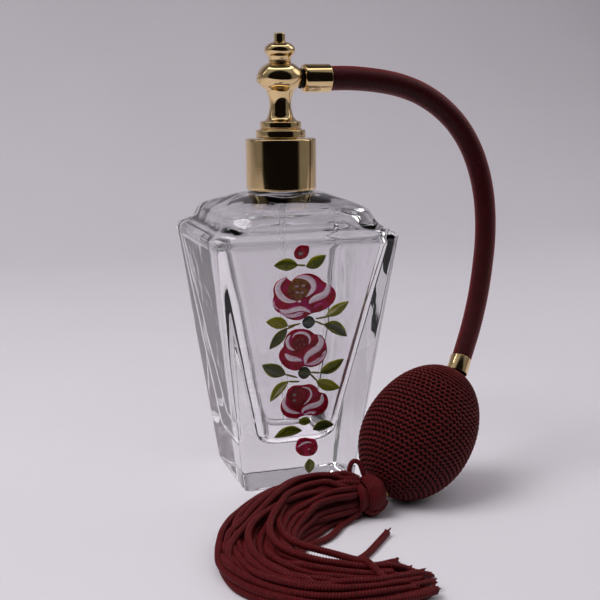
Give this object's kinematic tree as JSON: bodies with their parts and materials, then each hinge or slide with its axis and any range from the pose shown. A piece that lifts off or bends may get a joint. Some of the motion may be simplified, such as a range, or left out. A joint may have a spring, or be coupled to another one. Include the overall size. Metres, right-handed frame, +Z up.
{
  "type": "perfume bottle",
  "caption": "Tapered square glass perfume bottle with a screw-on spray head, a braided air hose, a netted rubber squeeze bulb and a long tassel.",
  "frame": {"origin": "centre of the bottle's flat base, on the table", "axes": "+Z up through the neck, -Y out of the painted front face, +X towards the hose connector"},
  "size_m": [0.1094, 0.1319, 0.1395],
  "materials": {
    "glass": "clear pressed and polished glass",
    "gasket": "matt moulded elastomer",
    "white_plastic": "moulded polyethylene",
    "clear_tube": "extruded translucent polyethylene",
    "gold_plate": "turned brass, polished and plated light gold",
    "raw_brass": "turned brass, unplated",
    "black_washer": "black moulded rubber",
    "black_rubber": "dipped latex",
    "steel_ball": "polished steel",
    "hose_braid": "braided viscose sleeve, wine red",
    "net": "crocheted viscose net, wine red",
    "tassel_cord": "twisted viscose cord, wine red"
  },
  "bodies": {
    "bottle": {"glass_bottle": "glass"},
    "seal": {"neck_gasket": "gasket"},
    "head": {"neck_plug": "white_plastic", "dip_tube": "clear_tube", "feed_stem": "clear_tube", "retaining_washer": "raw_brass", "head_body": "gold_plate", "finial": "gold_plate", "nozzle_insert": "gold_plate", "connector_washer": "black_washer", "connector_nipple": "raw_brass"},
    "collar": {"collar_shell": "gold_plate", "collar_insert": "white_plastic"},
    "air_line": {"head_ferrule": "gold_plate", "hose_barb": "raw_brass", "hose_liner": "black_rubber", "hose_sleeve": "hose_braid", "bulb_ferrule": "gold_plate", "bulb_barb": "raw_brass", "rubber_bulb": "black_rubber", "bulb_net": "net", "intake_valve_body": "raw_brass"},
    "intake_ball": {"intake_valve_ball": "steel_ball"},
    "tassel": {"tassel_tie": "tassel_cord", "tassel_head": "tassel_cord", "tassel_binding": "tassel_cord", "tassel_skirt": "tassel_cord"}
  },
  "joints": [
    {"name": "collar_turn", "type": "hinge", "parent": "seal", "child": "collar", "pos_m": [0, 0, 0.098], "axis": [0, 0, 1], "range_deg": [0, 540]},
    {"name": "seal_rise", "type": "slide", "parent": "bottle", "child": "seal", "axis": [0, 0, 1], "range_m": [0, 0.00476]},
    {"name": "head_swivel", "type": "hinge", "parent": "seal", "child": "head", "pos_m": [0, 0, 0.106], "axis": [0, 0, 1], "continuous": true},
    {"name": "hose_swivel", "type": "hinge", "parent": "head", "child": "air_line", "pos_m": [0.01, 0, 0.1258], "axis": [-1, 0, 0], "range_deg": [0, 75]},
    {"name": "bulb_squeeze", "type": "slide", "parent": "air_line", "child": "intake_ball", "axis": [-0.6682, -0.3116, -0.6756], "range_m": [0, 0.0008], "stiffness_N_per_m": 8, "deforming": ["rubber_bulb", "bulb_net"]},
    {"name": "tassel_swing", "type": "hinge", "parent": "air_line", "child": "tassel", "pos_m": [0.0163, -0.0438, 0.0055], "axis": [0, 1, 0], "range_deg": [-45, 0]}
  ],
  "couplings": [
    {"joint": "collar_turn", "follows": "seal_rise", "rad_per_m": 1979}
  ]
}
